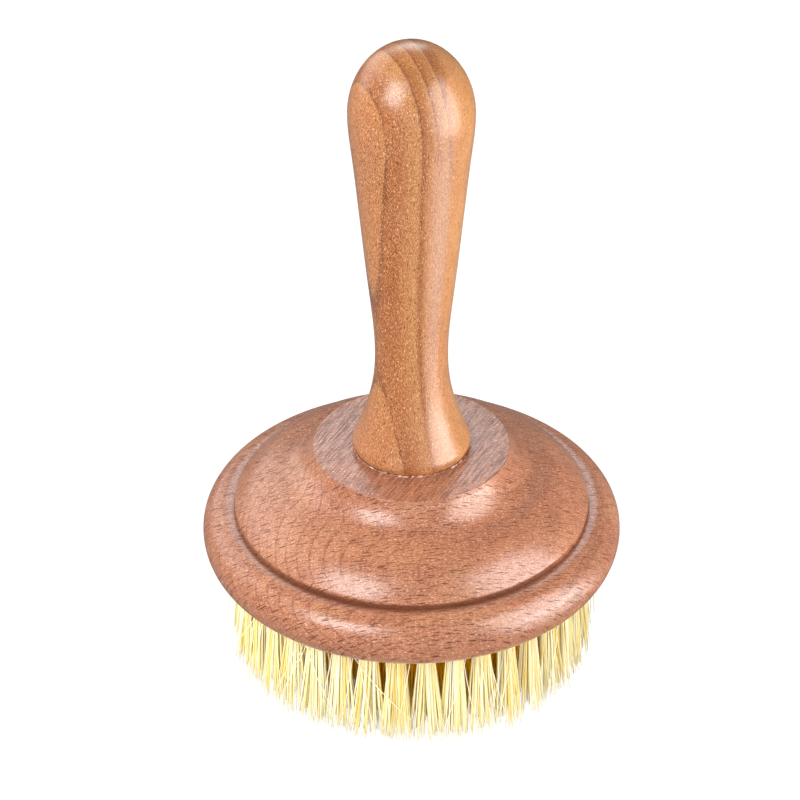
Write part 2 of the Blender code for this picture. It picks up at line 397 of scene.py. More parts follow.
def tube_mesh(name, paths, radii, shade=None):
    """Many thin tubes in one mesh. paths is (tubes, rings, 3), and radii and shade are (tubes, rings)."""
    tubes, rings, _ = paths.shape
    along = np.gradient(paths, axis=1)
    along /= np.linalg.norm(along, axis=2, keepdims=True)
    side = np.cross(along, np.array([0.31, 0.95, 0.0]))
    side /= np.linalg.norm(side, axis=2, keepdims=True)
    across = np.cross(along, side)
    turn = np.arange(FIBRE_SIDES) * 2 * math.pi / FIBRE_SIDES
    offset = (
        np.cos(turn)[None, None, :, None] * side[:, :, None, :]
        + np.sin(turn)[None, None, :, None] * across[:, :, None, :]
    )
    points = paths[:, :, None, :] + radii[:, :, None, None] * offset
    ring = np.arange(FIBRE_SIDES)
    following = (ring + 1) % FIBRE_SIDES
    lower = (np.arange(rings - 1) * FIBRE_SIDES)[:, None]
    upper = lower + FIBRE_SIDES
    corners = [lower + ring, lower + following, upper + following, upper + ring]
    quads = np.stack(corners, -1).reshape(-1, 4)
    per_tube = rings * FIBRE_SIDES
    base = np.arange(tubes) * per_tube
    sides = (quads[None] + base[:, None, None]).reshape(-1, 4)
    first_cap = ring[::-1][None] + base[:, None]
    last_cap = (ring + (rings - 1) * FIBRE_SIDES)[None] + base[:, None]
    mesh = bpy.data.meshes.new(name)
    faces = sides.tolist() + first_cap.tolist() + last_cap.tolist()
    mesh.from_pydata(points.reshape(-1, 3).tolist(), [], faces)
    if shade is not None:
        stored = mesh.attributes.new("shade", "FLOAT", "POINT")
        stored.data.foreach_set("value", np.repeat(shade.astype(np.float32).ravel(), FIBRE_SIDES))
    mesh.shade_smooth()
    mesh.update()
    return mesh


def fibre_paths(rng, count, spread_out, spread_round, lean, outer):
    """Centre lines of one tuft's fibres, in the tuft's own frame, with X away from the brush's axis,
    and how far down its fibre each point is, from 0 to 1."""
    order = np.arange(count) + 0.5
    distance = np.sqrt(order / count) * (TUFT_RADIUS - FIBRE_RADIUS)
    turn = order * math.pi * (3 - math.sqrt(5))
    root = np.stack([distance * np.cos(turn), distance * np.sin(turn)], -1)
    root += rng.normal(0, ROOT_SCATTER, root.shape)

    clump_root = rng.normal(0, TUFT_RADIUS * CLUMP_SPREAD, (CLUMPS, 2))
    clump_shift = rng.normal(0, CLUMP_SHIFT, (CLUMPS, 2))
    nearest = np.argmin(np.linalg.norm(root[:, None] - clump_root[None], axis=2), axis=1)
    tip = root * np.array([spread_out, spread_round]) / TUFT_RADIUS
    centre = clump_root[nearest] * np.array([spread_out, spread_round]) / TUFT_RADIUS
    tip += (centre - tip) * CLUMP_PULL + clump_shift[nearest] + rng.normal(0, TIP_SCATTER, tip.shape)
    tip[:, 0] += lean
    bow = rng.normal(0, BOW, (count, 2))
    stray = rng.random(count) < (OUTER_STRAYING if outer else INNER_STRAYING)
    tip[stray] += rng.normal(0, STRAY_SCATTER, (int(stray.sum()), 2))
    bow[stray] += rng.normal(0, STRAY_BOW, (int(stray.sum()), 2))

    shortfall = LEAST_SHORTFALL + MOST_SHORTFALL * rng.random(count) ** 1.4
    short = rng.random(count) < SHORT_SHARE
    shortfall[short] += SHORT_EXTRA * rng.random(int(short.sum()))

    top = UNDERSIDE + ROOT_DEPTH
    share = np.linspace(0, 1, FIBRE_RINGS)[None] ** 0.92
    z = top + (shortfall[:, None] - top) * share
    out = np.clip((UNDERSIDE - z) / UNDERSIDE, 0, None)
    spread = out**1.12
    bend = np.sin(np.pi * np.clip(out, 0, 1)) * out
    path = np.empty((count, FIBRE_RINGS, 3))
    for axis in (0, 1):
        path[:, :, axis] = (
            root[:, axis, None]
            + (tip - root)[:, axis, None] * spread
            + bow[:, axis, None] * bend
        )
    path[:, :, 2] = z
    return path, share


def make_tuft(row, number, radius, angle, material, rng):
    """One tuft, as a bundle of separate fibres. They fan out enough to meet the next tuft's at the tips."""
    outer = row == 1
    count = FIBRES_OUTER if outer else FIBRES_INNER
    around = 2 * math.pi * max(radius, CENTRE_REACH) * (1 + TIP_SPLAY)
    spacing = around / ROW_COUNTS[min(row, len(ROW_COUNTS)) - 1]
    spread_round = spacing * (OUTER_FAN if outer else INNER_FAN)
    spread_out = TIP_RADIUS if outer else TIP_RADIUS * INNER_TIP_FILL
    lean = radius * TIP_SPLAY
    path, share = fibre_paths(rng, count, spread_out, spread_round, lean, outer)
    turn = np.array([[math.cos(angle), -math.sin(angle)], [math.sin(angle), math.cos(angle)]])
    path[:, :, 0] += radius
    path[:, :, :2] = path[:, :, :2] @ turn.T
    thickness = FIBRE_RADIUS * rng.uniform(*FIBRE_SIZES, count)
    radii = thickness[:, None] * (1 - FIBRE_TAPER * share**4)
    shade = np.repeat(rng.random(count)[:, None], FIBRE_RINGS, axis=1)
    if radius == 0.0:
        name, node = "bristles_centre", "centre_tuft"
    elif outer:
        name, node = f"bristles_outer_{number:02d}", f"outer_tuft_{number:02d}"
    else:
        name, node = f"bristles_row{row}_{number:02d}", f"tuft_row_{row}"
    mesh = tube_mesh(name, path, radii, shade)
    mesh.materials.append(material)
    tuft = link(bpy.data.objects.new(name, mesh))
    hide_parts(node)
    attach(tuft, "root")


def make_bristles(material):
    """Every tuft, row by row from the outside in."""
    rng = np.random.default_rng(TUFT_SEED)
    for row, number, radius, angle in tuft_places():
        make_tuft(row, number, radius, angle, material, rng)


def make_strays(material):
    """Loose fibres that lie across the outer tufts or stick out past them."""
    rng = np.random.default_rng(STRAY_SEED)
    by_hand = np.array(LONG_STRAYS).T
    starts = np.concatenate([rng.uniform(*STRAY_STARTS, STRAYS), by_hand[0]])
    sweep = np.concatenate([rng.normal(*STRAY_SWEEP, STRAYS), by_hand[1]])
    reach = np.concatenate([rng.normal(*STRAY_REACH, STRAYS), by_hand[2]])
    drop = np.concatenate([rng.uniform(*STRAY_DROP, STRAYS), by_hand[3]])
    share = np.linspace(0, 1, FIBRE_RINGS)[None]
    turn = np.radians(starts[:, None] + sweep[:, None] * share**1.3)
    wave = rng.normal(0, STRAY_WAVE, (len(starts), 1)) * np.sin(np.pi * share)
    away = OUTER_ROW_RADIUS + TUFT_RADIUS * 0.8 + reach[:, None] * share + wave
    away = away + TIP_SPLAY * OUTER_ROW_RADIUS * share
    path = np.empty((len(starts), FIBRE_RINGS, 3))
    path[:, :, 0] = away * np.cos(turn)
    path[:, :, 1] = away * np.sin(turn)
    path[:, :, 2] = UNDERSIDE + 0.001 - (UNDERSIDE + 0.0006) * drop[:, None] * share
    radii = np.repeat(rng.uniform(*STRAY_RADII, len(starts))[:, None], FIBRE_RINGS, axis=1)
    radii = radii * (1 - STRAY_TAPER * share**3)
    shade = np.full(path.shape[:2], STRAY_SHADE)
    mesh = tube_mesh("bristles_stray", path, radii, shade)
    mesh.materials.append(material)
    strays = link(bpy.data.objects.new("bristles_stray", mesh))
    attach(strays, "root")


def make_glue(material):
    """Beads of dried glue that squeezed out round the front of the handle's foot."""
    rng = np.random.default_rng(GLUE_SEED)
    turn = np.radians(np.linspace(GLUE_FROM, GLUE_TO, GLUE_POINTS))
    lumps = np.convolve(rng.random(GLUE_POINTS), np.ones(3) / 3, mode="same")
    size = GLUE_FILM + GLUE_BEAD * np.clip(lumps - GLUE_BARE, 0, None) / GLUE_RISE
    away = HANDLE_STATIONS[0][1] + GLUE_OFFSET + GLUE_WANDER * rng.random(GLUE_POINTS)
    level = np.full(GLUE_POINTS, BOSS_TOP + GLUE_OFFSET)
    path = np.stack([away * np.cos(turn), away * np.sin(turn), level], -1)
    mesh = tube_mesh("glue_trace", path[None], size[None])
    mesh.materials.append(material)
    glue = link(bpy.data.objects.new("glue_trace", mesh))
    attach(glue, "root")


def make_staples(material):
    """A wire staple at the end of each hole: a bridge over the tuft's fold, and two legs into the wood."""
    wire = bpy.data.curves.new("staples", "CURVE")
    wire.dimensions = "3D"
    wire.bevel_depth = STAPLE_WIRE
    wire.bevel_resolution = 1
    wire.use_fill_caps = True
    wire.materials.append(material)
    route = [
        (-STAPLE_HALF, STAPLE_LEG_TOP),
        (-STAPLE_HALF, STAPLE_BRIDGE),
        (STAPLE_HALF, STAPLE_BRIDGE),
        (STAPLE_HALF, STAPLE_LEG_TOP),
    ]
    hole_end = UNDERSIDE + HOLE_DEPTH
    for _, number, radius, angle in tuft_places():
        turn = angle + (STAPLE_TURN if number % 2 else -STAPLE_TURN)
        centre = Vector((radius * math.cos(angle), radius * math.sin(angle), 0.0))
        across = Vector((math.cos(turn), math.sin(turn), 0.0))
        spline = wire.splines.new("POLY")
        spline.points.add(len(route) - 1)
        for point, (shift, height) in zip(spline.points, route):
            place = centre + across * shift
            point.co = (place.x, place.y, hole_end + height - STAPLE_CLEARANCE, 1.0)
    obj = link(bpy.data.objects.new("staples", wire))
    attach(obj, "root")


# ------------------------------------------------------------------ materials


class Stuff:
    """A material whose node tree is put together socket by socket."""

    def __init__(self, name):
        self.material = bpy.data.materials.new(name)
        self.material.use_nodes = True
        self.tree = self.material.node_tree
        self.shader = self.tree.nodes["Principled BSDF"]

    def node(self, kind, inputs=None, **settings):
        """A new node, with its settings and with a value or a link on each input that is named."""
        made = self.tree.nodes.new(kind)
        for key, value in settings.items():
            setattr(made, key, value)
        for key, value in (inputs or {}).items():
            self.feed(value, made.inputs[key])
        return made

    def feed(self, value, socket):
        """Links another node's socket, or sets a constant straight on the socket."""
        if isinstance(value, bpy.types.NodeSocket):
            self.tree.links.new(value, socket)
        else:
            socket.default_value = value

    def math(self, operation, first, second=0.0, clamp=False):
        inputs = {0: first, 1: second}
        return self.node("ShaderNodeMath", inputs, operation=operation, use_clamp=clamp).outputs[0]

    def vector(self, operation, first, second=(0.0, 0.0, 0.0)):
        made = self.node("ShaderNodeVectorMath", {0: first, 1: second}, operation=operation)
        return made.outputs["Value" if operation in ("DOT_PRODUCT", "LENGTH") else "Vector"]

    def position(self):
        """The place on the object, in millimetres."""
        spot = self.node("ShaderNodeTexCoord").outputs["Object"]
        return self.vector("MULTIPLY", spot, (MM, MM, MM))

    def along(self, point, direction):
        """How far a point lies along a direction."""
        return self.vector("DOT_PRODUCT", point, direction)

    def join(self, x, y, z):
        return self.node("ShaderNodeCombineXYZ", {"X": x, "Y": y, "Z": z}).outputs[0]

    def noise(self, point, scale=1.0, detail=2.0, roughness=0.5):
        inputs = {"Vector": point, "Scale": scale, "Detail": detail, "Roughness": roughness}
        return self.node("ShaderNodeTexNoise", inputs).outputs["Fac"]

    def span(self, value, low, high, out_low=0.0, out_high=1.0, kind="LINEAR"):
        """Takes low to out_low and high to out_high, and holds there beyond them."""
        inputs = {"Value": value, "From Min": low, "From Max": high, "To Min": out_low, "To Max": out_high}
        return self.node("ShaderNodeMapRange", inputs, interpolation_type=kind).outputs["Result"]

    def ramp(self, value, stops):
        """Colours along a value, from (place, colour) stops."""
        made = self.node("ShaderNodeValToRGB", {"Fac": value})
        band = made.color_ramp
        while len(band.elements) < len(stops):
            band.elements.new(1.0)
        for element, (place, colour) in zip(band.elements, stops):
            element.position = place
            element.color = (*colour, 1.0)
        return made.outputs["Color"]

    def mix(self, factor, first, second):
        """From the first colour to the second as the factor goes from 0 to 1."""
        made = self.node("ShaderNodeMix", data_type="RGBA")
        self.feed(factor, made.inputs["Factor"])
        sockets = [s for s in made.inputs if s.type == "RGBA"]
        for socket, value in zip(sockets, (first, second)):
            self.feed(value if isinstance(value, bpy.types.NodeSocket) else (*value, 1.0), socket)
        return [s for s in made.outputs if s.type == "RGBA"][0]

    def dashes(self, point, spacing, half_size, kept, edge=0.45):
        """Separate lens-shaped marks, one to a cell, of which only some are kept. Sizes are per axis."""
        cell = self.vector("DIVIDE", point, spacing)
        cells = self.node("ShaderNodeTexVoronoi", {"Vector": cell, "Scale": 1.0, "Randomness": 1.0})
        off = self.vector("SUBTRACT", cell, cells.outputs["Position"])
        ratio = tuple(s / h for s, h in zip(spacing, half_size))
        reach = self.vector("LENGTH", self.vector("MULTIPLY", off, ratio))
        chance = self.node("ShaderNodeSeparateColor", {0: cells.outputs["Color"]})
        strength = self.span(chance.outputs[0], 1.0 - kept, 1.0, 0.35, 1.0)
        shown = self.math("GREATER_THAN", chance.outputs[0], 1.0 - kept)
        body = self.span(reach, 1.0, edge, 0.0, 1.0, "SMOOTHSTEP")
        return self.math("MULTIPLY", self.math("MULTIPLY", body, shown), strength)

    def bump(self, height, distance, normal=None):
        """Relief of a given depth in metres, laid over any relief that is already there."""
        inputs = {"Height": height, "Distance": distance, "Strength": 1.0}
        if normal is not None:
            inputs["Normal"] = normal
        return self.node("ShaderNodeBump", inputs).outputs["Normal"]


# The head's wood: turns in the head's own frame, and lengths in millimetres
GRAIN_TURN = math.radians(7)
RING_TILT = math.radians(33)
RING_SPACING = 2.2
RING_SLANT = 0.16
BOSS_SCUFF_TURN = math.radians(63)
BOSS_TOP_MM = BOSS_TOP * MM
STEP_TOP_MM = (UNDERSIDE + STEP_HEIGHT) * MM
STEP_RADIUS_MM = STEP_RADIUS * MM
# Painted shade in the corner between the dome and the rim: its width, the heights it spans, and the front
# point from which it is darkest
CORNER_SHADE_WIDTH_MM = 3.4
CORNER_SHADE_HEIGHTS_MM = (38.0, 40.5)
CORNER_SHADE_FRONT_MM = -42.0


def beech():
    """Steamed beech: pink-brown, with dark ray dashes along the grain and thin red growth rings."""
    stuff = Stuff("steamed_beech")
    spot = stuff.position()
    grain = (math.cos(GRAIN_TURN), math.sin(GRAIN_TURN), 0.0)
    sideways = (-math.sin(GRAIN_TURN), math.cos(GRAIN_TURN), 0.0)
    up = (0.0, 0.0, 1.0)
    tilt_cos, tilt_sin = math.cos(RING_TILT), math.sin(RING_TILT)
    ring_axis = tuple(tilt_cos * b - tilt_sin * a for a, b in zip(sideways, up))
    ray_axis = tuple(tilt_sin * b + tilt_cos * a for a, b in zip(sideways, up))
    u = stuff.along(spot, grain)
    t = stuff.along(spot, ray_axis)
    r = stuff.along(spot, ring_axis)
    wood = stuff.join(u, t, r)

    # Growth rings, with a thin red line where each year's wood ends
    wander = stuff.noise(stuff.vector("MULTIPLY", wood, (0.035, 0.07, 0.07)), 1.0, 1.0)
    wander = stuff.math("MULTIPLY", stuff.math("SUBTRACT", wander, 0.5), 0.9)
    ring = stuff.math("ADD", stuff.math("ADD", r, wander), stuff.math("MULTIPLY", u, RING_SLANT))
    year = stuff.math("FRACT", stuff.math("DIVIDE", ring, RING_SPACING))
    late = stuff.span(year, 0.70, 0.95, 0.0, 1.0, "SMOOTHSTEP")
    late = stuff.math("MULTIPLY", late, stuff.span(year, 1.0, 0.95, 0.0, 1.0))
    uneven = stuff.noise(stuff.vector("MULTIPLY", wood, (0.05, 0.05, 0.35)), 1.0, 2.0)
    late = stuff.math("MULTIPLY", late, stuff.span(uneven, 0.36, 0.55, 0.55, 1.0))
    late = stuff.math("MULTIPLY", late, stuff.span(u, -24.0, 4.0, 1.0, 0.1))

    # Fibre streaks, broad clouding and a fine light and dark speckle
    streak = stuff.noise(stuff.vector("MULTIPLY", wood, (0.22, 2.6, 2.2)), 1.0, 3.0, 0.65)
    cloud = stuff.noise(stuff.vector("MULTIPLY", spot, (0.05, 0.07, 0.07)), 1.0, 3.0)
    speck = stuff.noise(stuff.vector("MULTIPLY", wood, (1.8, 3.8, 3.8)), 1.0, 2.0, 0.7)

    # Ray dashes, long and short, and bright flecks that are painted glints of the lacquer beside the pores.
    # The boss shows fewer dashes than the rest
    rays = stuff.dashes(wood, (3.0, 1.05, 18.0), (1.6, 0.18, 16.0), 0.92)
    fine = stuff.vector("ADD", wood, (2.3, 11.7, 5.1))
    fine_rays = stuff.dashes(fine, (1.9, 0.8, 9.0), (0.9, 0.13, 8.0), 0.7)
    bright = stuff.vector("ADD", wood, (7.9, 3.1, 1.3))
    flecks = stuff.dashes(bright, (1.5, 0.8, 1.2), (0.5, 0.16, 0.5), 0.5)

    height = stuff.along(spot, up)
    flat = stuff.span(height, BOSS_TOP_MM - 0.12, BOSS_TOP_MM - 0.04)
    off_boss = stuff.span(flat, 0.0, 1.0, 1.0, 0.3)
    rays = stuff.math("MULTIPLY", rays, off_boss)
    fine_rays = stuff.math("MULTIPLY", fine_rays, off_boss)

    base = stuff.ramp(
        cloud,
        [
            (0.33, (0.365, 0.135, 0.068)),
            (0.5, (0.415, 0.163, 0.083)),
            (0.67, (0.475, 0.208, 0.104)),
        ],
    )
    ring_red = (0.19, 0.042, 0.022)
    streak_brown = (0.29, 0.098, 0.052)
    speck_pink = (0.76, 0.39, 0.225)
    speck_brown = (0.17, 0.048, 0.022)
    fine_ray_brown = (0.13, 0.034, 0.016)
    ray_brown = (0.070, 0.014, 0.006)
    glint_pink = (0.90, 0.58, 0.40)
    base = stuff.mix(stuff.math("MULTIPLY", late, 0.75), base, ring_red)
    base = stuff.mix(stuff.span(streak, 0.4, 0.68, 0.0, 0.5), base, streak_brown)
    base = stuff.mix(stuff.span(speck, 0.52, 0.66, 0.0, 0.6), base, speck_pink)
    base = stuff.mix(stuff.span(speck, 0.49, 0.37, 0.0, 0.5), base, speck_brown)
    base = stuff.mix(stuff.math("MULTIPLY", fine_rays, 0.75), base, fine_ray_brown)
    base = stuff.mix(stuff.math("MULTIPLY", rays, 0.95), base, ray_brown)
    # Painted glints: pale flecks in the colour stand for tiny highlights
    base = stuff.mix(stuff.math("MULTIPLY", flecks, 0.5), base, glint_pink)

    # Painted shade: the corner between the dome and the rim is darkened, most of all at the front
    away = stuff.vector("LENGTH", stuff.vector("MULTIPLY", spot, (1.0, 1.0, 0.0)))
    near = stuff.span(away, STEP_RADIUS_MM + CORNER_SHADE_WIDTH_MM, STEP_RADIUS_MM, 0.0, 1.0, "SMOOTHSTEP")
    below = stuff.span(height, STEP_TOP_MM - 0.3, STEP_TOP_MM - 0.9)
    shaded_corner = stuff.math("MULTIPLY", near, below)
    shaded_corner = stuff.math("MULTIPLY", shaded_corner, stuff.span(height, *CORNER_SHADE_HEIGHTS_MM))
    shade_to_front = stuff.span(stuff.along(spot, (0.0, 1.0, 0.0)), CORNER_SHADE_FRONT_MM, 0.0, 1.0, 0.15)
    shaded_corner = stuff.math("MULTIPLY", shaded_corner, shade_to_front)
    painted_shade_brown = (0.10, 0.028, 0.014)
    base = stuff.mix(stuff.math("MULTIPLY", shaded_corner, 0.8), base, painted_shade_brown)

    # The flat top of the boss keeps the scuffs of its sanding, which cross the grain, and gets a little
    # painted shade from the handle over it
    scuff_u = stuff.along(spot, (math.cos(BOSS_SCUFF_TURN), math.sin(BOSS_SCUFF_TURN), 0.0))
    scuff_v = stuff.along(spot, (-math.sin(BOSS_SCUFF_TURN), math.cos(BOSS_SCUFF_TURN), 0.0))
    scuff_at = stuff.join(scuff_u, scuff_v, height)
    scratches = stuff.dashes(scuff_at, (6.5, 0.75, 40.0), (4.0, 0.17, 30.0), 0.92)
    smear = stuff.noise(stuff.vector("MULTIPLY", scuff_at, (0.16, 2.0, 0.2)), 1.0, 2.0, 0.6)
    scuff = stuff.math("MAXIMUM", scratches, stuff.span(smear, 0.48, 0.6, 0.0, 0.6))
    scuff = stuff.math("MULTIPLY", scuff, flat)
    boss_shade_brown = (0.25, 0.080, 0.045)
    scuff_brown = (0.09, 0.030, 0.022)
    # Painted shade: the whole flat top is darkened a little, for the handle's shadow on it
    base = stuff.mix(stuff.math("MULTIPLY", flat, 0.1), base, boss_shade_brown)
    base = stuff.mix(stuff.math("MULTIPLY", scuff, 0.9), base, scuff_brown)
    stuff.feed(base, stuff.shader.inputs["Base Color"])

    # The lacquer is whole on plain wood, and thin where the grain, the scuffs or the corner break it
    rough = stuff.span(streak, 0.3, 0.7, 0.26, 0.36)
    rough = stuff.math("ADD", rough, stuff.math("MULTIPLY", flat, 0.06))
    stuff.feed(rough, stuff.shader.inputs["Roughness"])
    open_grain = stuff.math("MAXIMUM", scuff, stuff.math("MAXIMUM", rays, fine_rays))
    open_grain = stuff.math("MAXIMUM", open_grain, shaded_corner)
    stuff.feed(stuff.span(open_grain, 0.0, 1.0, 1.0, 0.15), stuff.shader.inputs["Coat Weight"])
    stuff.shader.inputs["Coat Roughness"].default_value = 0.27
    stuff.shader.inputs["Coat IOR"].default_value = 1.6
    stuff.shader.inputs["Specular IOR Level"].default_value = 0.25

    sunk_rays = stuff.math("MULTIPLY", rays, -0.4)
    sunk_scuffs = stuff.math("MULTIPLY", scuff, -0.5)
    normal = stuff.bump(stuff.math("ADD", sunk_rays, sunk_scuffs), 0.00006)
    normal = stuff.bump(streak, 0.00004, normal)
    stuff.feed(stuff.bump(speck, 0.00003, normal), stuff.shader.inputs["Normal"])
    return stuff.material


# The handle's wood, in millimetres: which way its layers and its rays face, where the layers lie on the
# colour ramp, and the heights between which the knob's own lines and rays come in
LAYER_FACING = (1.0, 0.541, 0.0413)
RAY_FACING = (0.8796, 0.4758)
LAYER_LOW = -26.4
LAYER_HIGH = 13.6
LAYER_AT_KNOB = 6.4
KNOB_LINES_GONE = 140.0
KNOB_LINES_WHOLE = 168.0
KNOB_RAYS_FROM = 164.0
KNOB_RAYS_WHOLE = 170.0


def cherry():
    """Fine-grained honey-orange wood. Its growth layers stand nearly upright and cut across the knob."""
    stuff = Stuff("cherry_wood")
    spot = stuff.position()
    slow = stuff.noise(stuff.vector("MULTIPLY", spot, (0.05, 0.05, 0.016)), 1.0, 1.0)
    ripple = stuff.noise(stuff.vector("MULTIPLY", spot, (0.5, 0.5, 0.12)), 1.0, 2.0)
    layer = stuff.along(spot, LAYER_FACING)
    layer = stuff.math("ADD", layer, stuff.math("MULTIPLY", stuff.math("SUBTRACT", slow, 0.5), 2.0))
    layer = stuff.math("ADD", layer, stuff.math("MULTIPLY", stuff.math("SUBTRACT", ripple, 0.5), 0.5))
    place = stuff.span(layer, LAYER_LOW, LAYER_HIGH)

    def at(mm):
        """Where a layer lies on the ramp. Layers are counted from the plane through the knob's middle."""
        return (mm + LAYER_AT_KNOB - LAYER_LOW) / (LAYER_HIGH - LAYER_LOW)

    pale = (0.508, 0.231, 0.082)
    warm = (0.423, 0.165, 0.052)
    rosy = (0.385, 0.142, 0.053)
    deep = (0.29, 0.080, 0.016)
    line = (0.13, 0.028, 0.006)
    base = stuff.ramp(
        place,
        [
            (at(-20.0), rosy),
            (at(-16.0), rosy),
            (at(-14.3), warm),
            (at(-13.95), line),
            (at(-13.4), deep),
            (at(-11.6), deep),
            (at(-9.4), warm),
            (at(-6.2), pale),
            (at(-5.75), line),
            (at(-5.2), deep),
            (at(-3.4), warm),
            (at(-1.9), pale),
            (at(-1.55), line),
            (at(-1.1), deep),
            (at(0.6), warm),
            (at(2.1), pale),
            (at(2.45), line),
            (at(3.0), deep),
            (at(5.4), warm),
            (at(12.0), pale),
        ],
    )
    # The inner lines show on the knob and hardly at all on the shaft
    height = stuff.along(spot, (0.0, 0.0, 1.0))
    fade = stuff.span(height, KNOB_LINES_WHOLE, KNOB_LINES_GONE, 0.0, 1.0, "SMOOTHSTEP")
    fade = stuff.math("MULTIPLY", fade, stuff.span(place, at(-8.5), at(-7.0)))
    plain = stuff.ramp(
        place,
        [(at(-7.0), pale), (at(-5.7), deep), (at(-4.6), warm), (at(0.0), warm), (at(8.0), pale)],
    )
    base = stuff.mix(fade, base, plain)

    # Streaks along the shaft, clouding, a fine speckle, dark pores and bright flecks
    streak = stuff.noise(stuff.vector("MULTIPLY", spot, (2.0, 2.0, 0.10)), 1.0, 3.0, 0.65)
    cloud = stuff.noise(stuff.vector("MULTIPLY", spot, (0.16, 0.16, 0.05)), 1.0, 3.0)
    speck = stuff.noise(stuff.vector("MULTIPLY", spot, (3.6, 3.6, 1.7)), 1.0, 2.0, 0.7)
    pores = stuff.dashes(spot, (0.85, 0.85, 1.7), (0.22, 0.22, 0.5), 0.6)
    shifted = stuff.vector("ADD", spot, (3.3, 7.1, 9.4))
    flecks = stuff.dashes(shifted, (0.8, 0.8, 1.5), (0.18, 0.18, 0.42), 0.5)
    base = stuff.mix(stuff.span(streak, 0.45, 0.7, 0.0, 0.4), base, deep)
    base = stuff.mix(stuff.span(cloud, 0.56, 0.36, 0.0, 0.4), base, rosy)
    speck_gold = (0.78, 0.41, 0.170)
    speck_brown = (0.18, 0.046, 0.012)
    pore_brown = (0.08, 0.020, 0.005)
    fleck_gold = (0.92, 0.58, 0.30)
    base = stuff.mix(stuff.span(speck, 0.51, 0.64, 0.0, 0.5), base, speck_gold)
    base = stuff.mix(stuff.span(speck, 0.49, 0.37, 0.0, 0.55), base, speck_brown)
    base = stuff.mix(stuff.math("MULTIPLY", pores, 0.9), base, pore_brown)
    base = stuff.mix(stuff.math("MULTIPLY", flecks, 0.7), base, fleck_gold)

    # Rays cross the end grain of the knob as short dark lines, square to the layers
    facing_x, facing_y = RAY_FACING
    through = stuff.along(spot, (facing_x, facing_y, 0.0))
    beside = stuff.along(spot, (-facing_y, facing_x, 0.0))
    ray_at = stuff.join(through, beside, height)
    knob_rays = stuff.dashes(ray_at, (4.5, 2.4, 30.0), (2.6, 0.14, 14.0), 0.45)
    knob_rays = stuff.math("MULTIPLY", knob_rays, stuff.span(height, KNOB_RAYS_FROM, KNOB_RAYS_WHOLE))
    base = stuff.mix(stuff.math("MULTIPLY", knob_rays, 0.7), base, line)
    stuff.feed(base, stuff.shader.inputs["Base Color"])
    stuff.feed(stuff.span(streak, 0.3, 0.7, 0.24, 0.34), stuff.shader.inputs["Roughness"])
    stuff.shader.inputs["Coat Weight"].default_value = 1.0
    stuff.shader.inputs["Coat Roughness"].default_value = 0.30
    stuff.shader.inputs["Coat IOR"].default_value = 1.6
    stuff.shader.inputs["Specular IOR Level"].default_value = 0.25
    normal = stuff.bump(stuff.math("MULTIPLY", pores, -1.0), 0.00003)
    normal = stuff.bump(streak, 0.00003, normal)
    stuff.feed(stuff.bump(speck, 0.000025, normal), stuff.shader.inputs["Normal"])
    return stuff.material


def dowel_beech():
    """Bare beech, for the dowel inside the joint."""
    stuff = Stuff("plain_dowel_beech")
    spot = stuff.position()
    streak = stuff.noise(stuff.vector("MULTIPLY", spot, (2.4, 2.4, 0.14)), 1.0, 3.0, 0.6)
    rays = stuff.dashes(spot, (1.6, 1.6, 4.0), (0.12, 0.12, 1.3), 0.7)
    base = stuff.ramp(streak, [(0.3, (0.50, 0.33, 0.19)), (0.7, (0.66, 0.47, 0.30))])
    base = stuff.mix(stuff.math("MULTIPLY", rays, 0.6), base, (0.30, 0.16, 0.08))
    stuff.feed(base, stuff.shader.inputs["Base Color"])
    stuff.feed(stuff.span(streak, 0.3, 0.7, 0.5, 0.7), stuff.shader.inputs["Roughness"])
    stuff.feed(stuff.bump(streak, 0.00003), stuff.shader.inputs["Normal"])
    return stuff.material


def tampico():
    """Plant fibre: cream to straw yellow from fibre to fibre, with painted amber shade where other fibres
    crowd it.
    """
    stuff = Stuff("tampico_fibre")
    spot = stuff.position()
    shade = stuff.node("ShaderNodeAttribute", attribute_name="shade").outputs["Fac"]
    patch = stuff.noise(stuff.vector("MULTIPLY", spot, (0.8, 0.8, 0.22)), 1.0, 2.0)
    drift = stuff.math("MULTIPLY", stuff.math("SUBTRACT", patch, 0.5), 0.5)
    mixed = stuff.math("ADD", shade, drift, clamp=True)
    base = stuff.ramp(
        mixed,
        [
            (0.0, (0.95, 0.71, 0.21)),
            (0.35, (0.97, 0.84, 0.43)),
            (0.7, (0.98, 0.91, 0.60)),
            (1.0, (0.99, 0.96, 0.77)),
        ],
    )
    # Painted shade: amber, for the shade and the light that glows through crowded fibres, takes over inside
    # the outer row, and a little of it shows under the head
    away = stuff.vector("LENGTH", stuff.vector("MULTIPLY", spot, (1.0, 1.0, 0.0)))
    height = stuff.along(spot, (0.0, 0.0, 1.0))
    inner = stuff.span(away, 44.6, 41.0)
    deep = stuff.math("MULTIPLY", inner, stuff.span(height, 1.0, 15.0, 0.8, 1.0))
    top = stuff.span(height, 20.0, 29.0, 0.0, 0.2)
    painted_amber_shade = stuff.mix(stuff.span(height, 4.0, 16.0), (1.0, 0.72, 0.09), (1.0, 0.50, 0.008))
    base = stuff.mix(stuff.math("MAXIMUM", deep, top), base, painted_amber_shade)
    stuff.feed(base, stuff.shader.inputs["Base Color"])
    stuff.feed(stuff.span(patch, 0.3, 0.7, 0.38, 0.55), stuff.shader.inputs["Roughness"])
    stuff.shader.inputs["Specular IOR Level"].default_value = 0.04
    ridge = stuff.noise(stuff.vector("MULTIPLY", spot, (9.0, 9.0, 0.6)), 1.0, 2.0)
    stuff.feed(stuff.bump(ridge, 0.00002), stuff.shader.inputs["Normal"])
    return stuff.material


